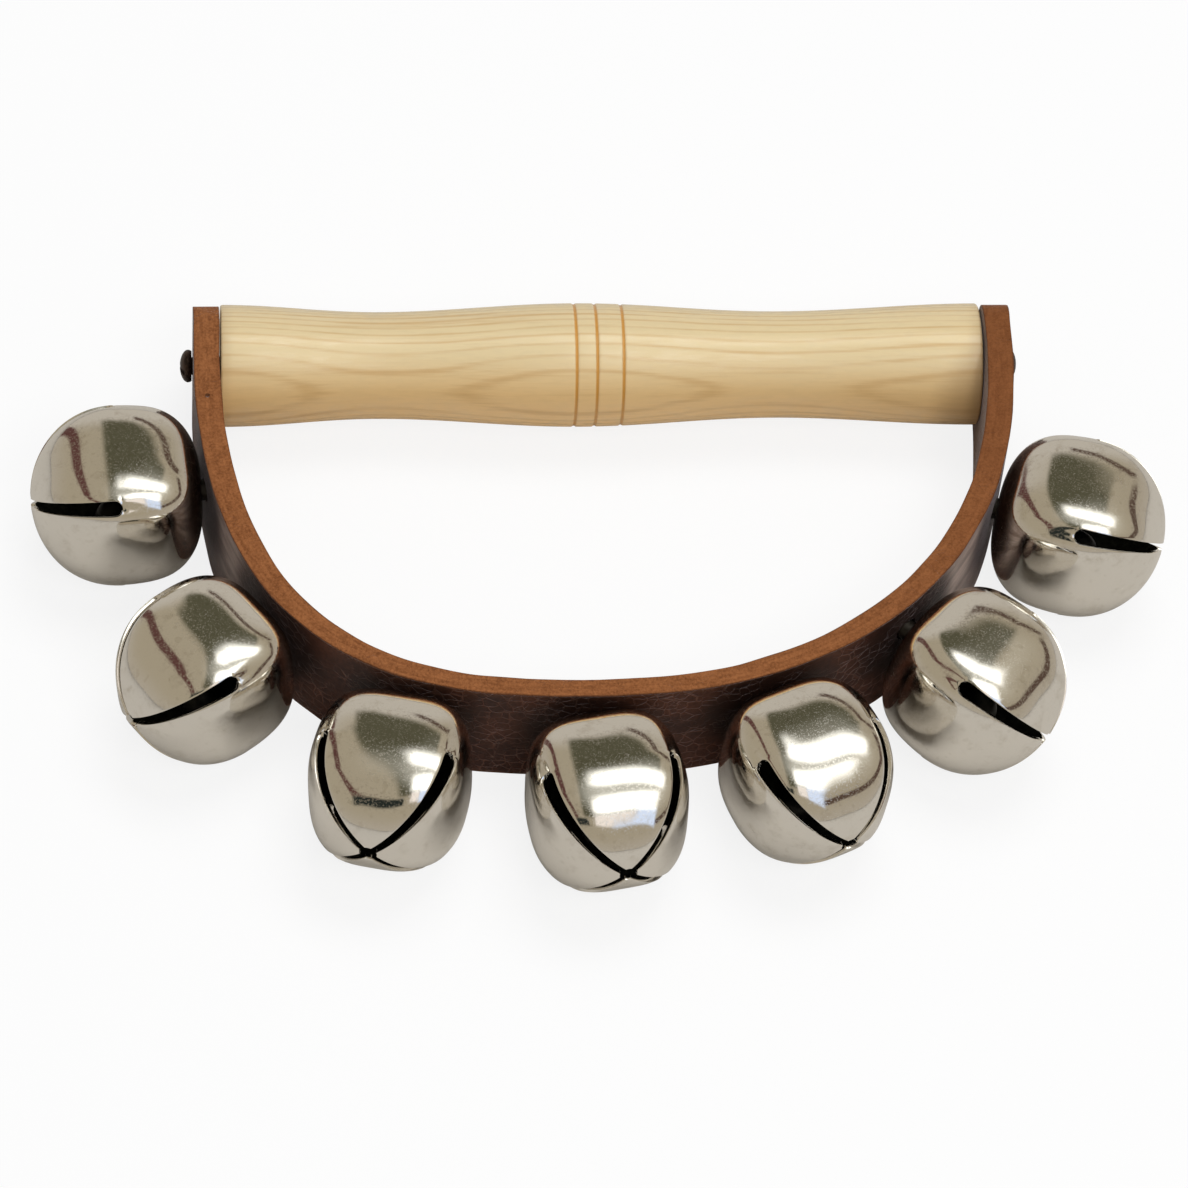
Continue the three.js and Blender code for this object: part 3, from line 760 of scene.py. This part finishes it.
def cut_leather(places):
    """Dark red-brown grain side with pale cracks, a painted sheen on the legs and painted shade round each
    bell, raw tan edges and a suede inner side.
    """
    finish = Finish("cut_leather")
    here = finish.place()
    z = finish.parts(here)[2]
    inset, depth, length = [
        finish.add("ShaderNodeAttribute", {"attribute_name": name}, None, "Fac")
        for name in ("inset", "depth", "length")
    ]
    flat = finish.join(length, z, depth * (3 * MM))
    mottle = finish.noise(here, 90.0, 3.0, 0.6)
    grit = finish.noise(here, 1500.0, 2.0, 0.6)
    edge = (inset + (grit - 0.5) * (0.3 * MM)).step(0.5 * MM, 0.2 * MM)
    inside = depth.step(0.55, 0.35)

    # Grain side: a net of cracks, pale hairs and worn borders
    deep, brown = colour(0.030, 0.0085, 0.0046), colour(0.108, 0.036, 0.018)
    crack_tan, hair_tan = colour(0.21, 0.095, 0.062), colour(0.26, 0.15, 0.11)
    worn_brown = colour(0.15, 0.062, 0.032)
    wander = shifted(finish, finish.noise(flat, 420.0, 2.0, 0.6), CRACK_WANDER)
    bent = finish.add("ShaderNodeVectorMath", {"operation": "ADD"}, {0: flat, 1: wander})
    cells = finish.add(
        "ShaderNodeTexVoronoi", {"feature": "DISTANCE_TO_EDGE"}, {"Vector": bent, "Scale": 520.0}, "Distance"
    )
    cracks = cells.step(0.075, 0.015) * finish.noise(flat, 150.0, 2.0).step(0.36, 0.56)
    drift = finish.noise(flat, 300.0, 1.5, 0.5, 1.2)
    hairs = abs(drift - 0.5).step(0.010, 0.003) * finish.noise(flat, 110.0, 1.0).step(0.48, 0.60)
    grain = finish.mix((mottle + (grit - 0.5) * 0.6).step(0.2, 0.85), deep, brown)
    grain = finish.mix(cracks * 0.55, grain, crack_tan)
    grain = finish.mix(hairs * 0.5, grain, hair_tan)
    worn = (inset + (mottle - 0.5) * (2 * MM)).step(1.6 * MM, 0.3 * MM)
    grain = finish.mix(worn * 0.30, grain, worn_brown)

    # Painted sheen on the legs, brighter on the right one, and painted shade round each bell
    painted_sheen_tan, painted_bell_shade = colour(0.74, 0.58, 0.50), colour(0.010, 0.0055, 0.004)
    aside = abs(length - LEG_SHEEN_MID)
    legs = aside.step(*LEG_SHEEN_FROM) * aside.step(*LEG_SHEEN_TO)
    creased = finish.noise(finish.join(length * 90, z * 420, depth), 1.0, 3.0, 0.6, 0.6).step(0.30, 0.72)
    painted_sheen = legs * (0.3 + creased * 0.7) * (0.60 + length.step(-20 * MM, 20 * MM) * 0.40)
    painted_sheen = painted_sheen * z.step(*LEG_SHEEN_HIGH)
    # Painted shade: the leather darkened round each bell, where the bell shades it; the sheen and the coat
    # are left out there
    spots = [place @ Vector((0, 0, BELL_SHADE_DEPTH)) for place in places]
    bell_shade = sum(finish.distance(here, spot).step(BELL_SHADE_R, 0.55 * BELL_SHADE_R) for spot in spots)
    grain = finish.mix(painted_sheen * (1.0 - bell_shade), grain, painted_sheen_tan)
    grain = finish.mix(bell_shade * 0.74, grain, painted_bell_shade)

    # Cut edge: layered nap, darker to the right, dye along both borders and one pit
    pale_tan, dark_tan = colour(0.385, 0.148, 0.053), colour(0.178, 0.060, 0.019)
    right_tan, dye = colour(0.17, 0.058, 0.019), colour(0.085, 0.034, 0.017)
    pit_brown = colour(0.045, 0.016, 0.008)
    layered = finish.noise(finish.join(length * 260, z * 260, depth * 9), 1.0)
    specks = finish.noise(here, 2200.0, 2.0, 0.7)
    blots = finish.noise(here, 520.0, 3.0, 0.65)
    nap = (layered * 0.5 + blots * 0.5 + (specks - 0.5) * 0.8).step(0.2, 0.85)
    tan = finish.mix(nap, pale_tan, dark_tan)
    tan = finish.mix(length.step(10 * MM, 110 * MM) * 0.55, tan, right_tan)
    dyed = abs(depth - 0.5).step(0.42, 0.52)
    tan = finish.mix(dyed * 0.65, tan, dye)
    pit = finish.distance(here, PIT_PLACE).step(1.2 * PIT_R, 0.6 * PIT_R)
    tan = finish.mix(pit * 0.8, tan, pit_brown)

    # Inner side, then all three together
    dark_suede, pale_suede = colour(0.16, 0.105, 0.075), colour(0.25, 0.18, 0.135)
    suede = finish.mix((mottle * 0.6 + grit * 0.4).step(0.3, 0.7), dark_suede, pale_suede)
    skin = finish.mix(edge, finish.mix(inside, grain, suede), tan)
    rough = 0.46 + (mottle - 0.5) * 0.25 + inside * 0.38
    rough = rough + edge * (0.88 - rough)
    height = grit * (0.3 + inside * 0.5) - cracks * 0.5 + hairs * 0.4
    height = height + edge * (specks * 0.9 + blots * 0.9) - pit * 3.0
    return finish.shade(
        Base_Color=skin,
        Roughness=rough,
        Specular_IOR_Level=0.25,
        Coat_Weight=legs * (1.0 - edge) * (1.0 - inside) * (1.0 - bell_shade) * 0.6,
        Coat_Roughness=0.38,
        Sheen_Weight=0.30,
        Sheen_Roughness=0.25,
        Sheen_Tint=colour(0.8, 0.70, 0.72),
        Normal=finish.bump(height, 0.16 * MM, 0.8),
    )


def nickel_plate():
    """Bright warm nickel with a fine grainy haze, faint scuffs and smears."""
    bright, dulled = colour(0.84, 0.81, 0.755), colour(0.60, 0.55, 0.47)
    finish = Finish("nickel_plate")
    here = finish.place()
    smear = finish.noise(here, 160.0, 3.0, 0.6)
    grain = finish.noise(here, 3000.0, 2.0, 0.7).step(0.47, 0.64)
    scuff = finish.noise(finish.place((3200, 420, 900)), 1.0, 2.0, 0.6).step(0.62, 0.75)
    tarnish = finish.noise(here, 320.0, 3.0, 0.65).step(0.50, 0.75)
    spots = finish.noise(here, 620.0, 1.0).step(0.66, 0.74)
    return finish.shade(
        Base_Color=finish.mix(tarnish * 0.4 + spots * 0.25, bright, dulled),
        Metallic=1.0,
        Roughness=0.045 + grain * 0.17 + (smear - 0.4) * 0.08 + scuff * 0.05 + tarnish * 0.05,
        Normal=finish.bump(smear + tarnish * 0.3, 0.012 * MM, 0.4),
    )


def bare_steel(name, base, roughness):
    """Plain steel with streaks from rubbing and dull spots."""
    finish = Finish(name)
    rub = finish.noise(finish.place((2600, 900, 500)), 1.0, 3.0, 0.6)
    spots = finish.noise(finish.place(), 700.0, 3.0, 0.6).step(0.5, 0.75)
    dull = tuple(0.55 * part for part in base)
    return finish.shade(
        Base_Color=finish.mix(spots * 0.6, colour(*base), colour(*dull)),
        Metallic=1.0,
        Roughness=roughness + (rub - 0.5) * 0.2 + spots * 0.15,
        Normal=finish.bump(rub + spots * 0.5, 0.02 * MM, 0.5),
    )


def painted_shade_inside():
    """Painted shade for the inside of a bell and its slot walls: dull, near black, with faint mottling."""
    black, mottled_shade = colour(0.010, 0.0098, 0.0065), colour(0.027, 0.026, 0.018)
    finish = Finish("bell_inside_shade")
    inside_mottle = finish.noise(finish.place(), 700.0, 3.0, 0.6)
    return finish.shade(
        Base_Color=finish.mix(inside_mottle.step(0.35, 0.7), black, mottled_shade),
        Metallic=0.0,
        Roughness=0.85 + (inside_mottle - 0.5) * 0.2,
        Specular_IOR_Level=0.08,
        Normal=finish.bump(inside_mottle, 0.02 * MM, 0.4),
    )


def browned_steel():
    """Dark browned screw metal with small bright flecks."""
    dark, brown, bright = colour(0.030, 0.018, 0.013), colour(0.075, 0.045, 0.032), colour(0.22, 0.17, 0.14)
    finish = Finish("browned_steel")
    here = finish.place()
    cloud = finish.noise(here, 900.0, 3.0, 0.6)
    fleck = finish.noise(here, 4200.0, 2.0, 0.6).step(0.6, 0.75)
    metal = finish.mix(cloud.step(0.35, 0.7), dark, brown)
    return finish.shade(
        Base_Color=finish.mix(fleck * 0.3, metal, bright),
        Metallic=0.7,
        Roughness=0.42 + (cloud - 0.5) * 0.3,
        Normal=finish.bump(cloud + fleck * 0.3, 0.03 * MM, 0.5),
    )


def dress(piece, finish, body, node):
    """Gives a piece a finish if it has none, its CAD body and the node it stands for."""
    if not piece.data.materials:
        piece.data.materials.append(finish)
    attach(piece, body)
    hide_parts(node)


# The object

places = bell_places()
wood, leather = varnished_wood(), cut_leather(places)
# The bells' insides are painted shade
nickel, bell_inside_shade, screw_metal = nickel_plate(), painted_shade_inside(), browned_steel()
# Rivets and washers: steel painted nearly black, as painted shade for the gap between bell and strap
rivet_shaded_metal = bare_steel("rivet_steel_painted_shade", (0.06, 0.053, 0.046), 0.5)
pellet_metal = bare_steel("pellet_steel", (0.06, 0.058, 0.052), 0.5)

dress(make_handle(), wood, "frame", "handle")
dress(make_strap(places), leather, "frame", "strap")
for side in ("left", "right"):
    dress(make_screw(side), screw_metal, "frame", f"handle_screw_{side}")

first_bell, first_pellet = make_bell(nickel, bell_inside_shade), make_pellet()
for i, (place, turn) in enumerate(zip(places, BELL_TURNS_DEG), 1):
    bell = copied(first_bell, f"bell_{i}")
    ripple_bell(bell, i)
    put(bell, place @ Matrix.Rotation(math.radians(turn), 4, "Z"))
    dress(bell, nickel, f"bell_{i}", f"bell_shell_{i}")
    pellet = copied(first_pellet, f"pellet_{i}")
    pellet_low, pellet_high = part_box(f"bell_pellet_{i}")
    put(pellet, Matrix.Translation((pellet_low + pellet_high) / 2) @ Matrix.Rotation(i, 4, "X"))
    dress(pellet, pellet_metal, f"pellet_{i}", f"bell_pellet_{i}")
    dress(make_rivet(i, place), rivet_shaded_metal, "frame", f"bell_rivet_{i}")
    dress(make_washer(i, place), rivet_shaded_metal, "frame", f"rivet_washer_{i}")
discard(first_bell)
discard(first_pellet)


# Floor, light and camera

CAMERA_DISTANCE = 1.1308
CAMERA_ELEVATION = 56.64
CAMERA_AZIMUTH = -7.22
CAMERA_ROLL = 5.79
CAMERA_LENS = 203.9
CAMERA_SENSOR = 36
CAMERA_REACH = 50
CAMERA_SHIFT = (-0.0118, -0.0485)
AIM = HANDLE_MID + Vector((0, -35 * MM, 0))
FLOOR_SIZE = 6.0
SOFT_LIGHT = 0.30
FLOOR_WHITE = 0.84
WHITE = colour(1.0, 1.0, 1.0)
FLOOR_PAINT = colour(0.85, 0.85, 0.85)
FLOOR_MIRRORED = colour(0.63, 0.595, 0.54)
PANEL_WHITE = colour(2.4, 2.4, 2.3)
PANEL_BLACK = colour(0.02, 0.025, 0.022)

# Panels in front that metal mirrors: left, right, near and far side, soft border, colour
FRONT_PANELS = (
    (0.26, 0.62, -0.76, -0.40, 0.06, colour(0.78, 0.90, 1.15)),
    (0.02, 0.32, -0.74, -0.46, 0.06, colour(1.0, 0.92, 0.86)),
    (-0.04, 0.66, -0.53, -0.03, 0.17, PANEL_WHITE),
)


def make_camera():
    """At the photograph's viewing angle, found from the handle, the bow and the bells."""
    tilt, around = math.radians(CAMERA_ELEVATION), math.radians(CAMERA_AZIMUTH)
    back = Vector((math.sin(around) * math.cos(tilt), -math.cos(around) * math.cos(tilt), math.sin(tilt)))
    right = UP.cross(back).normalized()
    level = Matrix((right, back.cross(right), back)).transposed()
    turn = level @ Matrix.Rotation(math.radians(CAMERA_ROLL), 3, "Z")
    lens = bpy.data.cameras.new("camera")
    lens.sensor_width = CAMERA_SENSOR
    lens.lens = CAMERA_LENS
    lens.shift_x, lens.shift_y = CAMERA_SHIFT
    lens.clip_end = CAMERA_REACH
    camera = bpy.data.objects.new("camera", lens)
    camera.matrix_world = Matrix.Translation(AIM + back * CAMERA_DISTANCE) @ turn.to_4x4()
    bpy.context.scene.collection.objects.link(camera)
    bpy.context.scene.camera = camera


def make_lamp(name, way, distance, width, height, power):
    """A soft box that faces the object."""
    light = bpy.data.lights.new(name, "AREA")
    light.shape = "RECTANGLE"
    light.size, light.size_y = width, height
    light.energy = power
    lamp = bpy.data.objects.new(name, light)
    way = Vector(way).normalized()
    lamp.visible_glossy = False
    facing = way.to_track_quat("Z", "Y").to_matrix().to_4x4()
    lamp.matrix_world = Matrix.Translation(AIM + way * distance) @ facing
    bpy.context.scene.collection.objects.link(lamp)


def ray_kinds(nodes):
    """Whether a ray comes from the camera, and whether it is a mirrored one."""
    return [nodes.add("ShaderNodeLightPath", None, None, f"Is {kind} Ray") for kind in ("Camera", "Glossy")]


def make_floor():
    """A pale floor, white to the camera, that keeps the ring's shadow."""
    bpy.ops.object.select_all(action="DESELECT")
    bpy.ops.mesh.primitive_plane_add(size=FLOOR_SIZE)
    floor = bpy.context.object
    floor.name = "floor"
    finish = Finish("pale_floor")
    seen, mirrored = ray_kinds(finish)
    paint = finish.mix(seen, finish.mix(mirrored, FLOOR_PAINT, FLOOR_MIRRORED), WHITE)
    lit = finish.add("ShaderNodeBsdfDiffuse", None, {"Color": paint})
    white = finish.add("ShaderNodeEmission", None, {"Color": WHITE, "Strength": 1.0})
    surface = finish.add("ShaderNodeMixShader", None, {0: seen * FLOOR_WHITE, 1: lit, 2: white})
    finish.add("ShaderNodeOutputMaterial", None, {"Surface": surface})
    floor.data.materials.append(finish.material)


def patch(x, y, left, right, near, far, soft):
    """A soft-edged patch of the upper half of the studio, seen from above."""
    across = x.step(left, left + soft) * x.step(right, right - soft)
    return across * y.step(near, near + soft) * y.step(far, far - soft)


def make_studio():
    """Soft even light. Metal mirrors warm walls, a dark ceiling, bright panels and dark bars."""
    low_wall, high_wall = colour(0.45, 0.405, 0.34), colour(0.40, 0.35, 0.26)
    back_wall = colour(0.54, 0.50, 0.44)
    red_bar, brown_bar = colour(0.095, 0.034, 0.032), colour(0.070, 0.036, 0.027)
    ceiling, glare = colour(0.092, 0.087, 0.054), colour(1.1, 1.08, 0.98)
    world = bpy.data.worlds.new("studio")
    world.use_nodes = True
    bpy.context.scene.world = world
    nodes = Nodes(world.node_tree)
    x, y, z = nodes.parts(nodes.add("ShaderNodeTexCoord", output="Generated"))
    upper = z.step(0.15, 0.3)
    room = nodes.mix(z.step(-0.1, 0.5), low_wall, high_wall)
    room = nodes.mix(y.step(0.66, 0.90), room, back_wall)
    left_bar = abs(x + 0.62).step(0.075, 0.045) * y.step(-0.04, 0.02) * y.step(0.90, 0.80)
    front_bar = abs(x + y * 0.364 + 0.63).step(0.055, 0.03) * y.step(-0.64, -0.56) * y.step(0.02, -0.04)
    room = nodes.mix((left_bar + front_bar) * z.step(-0.05, 0.05) * 0.95, room, red_bar)
    beam = abs(z - abs(y - 0.10) * 0.27 - 0.24).step(0.075, 0.048)
    beam = beam * x.step(0.50, 0.58) * y.step(-0.75, -0.68) * y.step(0.54, 0.46)
    lintel = abs(y + x * 0.42 - 0.90).step(0.034, 0.016)
    lintel = lintel * x.step(0.04, 0.12) * x.step(0.80, 0.74) * z.step(0.0, 0.08)
    room = nodes.mix((beam + lintel).step(0.0, 1.0) * 0.92, room, brown_bar)
    over = patch(x, y, -0.25, 0.58, -0.60, 0.88, 0.10) * (y + x * 0.42).step(0.86, 0.78)
    room = nodes.mix(over * upper, room, ceiling)
    from_glare = ((x - 0.30) ** 2 + (y - 0.02) ** 2) ** 0.5
    room = nodes.mix(from_glare.step(0.66, 0.12) * upper * 0.55, room, glare)
    for *sides, tone in FRONT_PANELS:
        room = nodes.mix(patch(x, y, *sides) * upper, room, tone)
    slant = y + x * 0.25
    back_panel = slant.step(0.07, 0.24) * slant.step(0.54, 0.32) * patch(x, y, -0.10, 0.76, -0.2, 0.62, 0.18)
    room = nodes.mix(back_panel * upper, room, PANEL_WHITE)
    room = nodes.mix(patch(x, y, -0.48, -0.08, -0.76, -0.57, 0.05) * upper, room, PANEL_BLACK)
    seen, mirrored = ray_kinds(nodes)
    light = nodes.mix(mirrored, colour(SOFT_LIGHT, SOFT_LIGHT, SOFT_LIGHT), room)
    light = nodes.mix(seen, light, WHITE)
    surface = nodes.add("ShaderNodeBackground", None, {"Color": light, "Strength": 1.0})
    nodes.add("ShaderNodeOutputWorld", None, {"Surface": surface})


make_camera()
make_floor()
make_studio()
make_lamp("key_lamp", way=(0.15, 0.25, 0.95), distance=1.2, width=0.7, height=0.5, power=6.0)
make_lamp("front_lamp", way=(0.18, -0.47, 0.78), distance=1.2, width=0.6, height=0.4, power=4.0)
bpy.context.scene.view_settings.view_transform = "Standard"
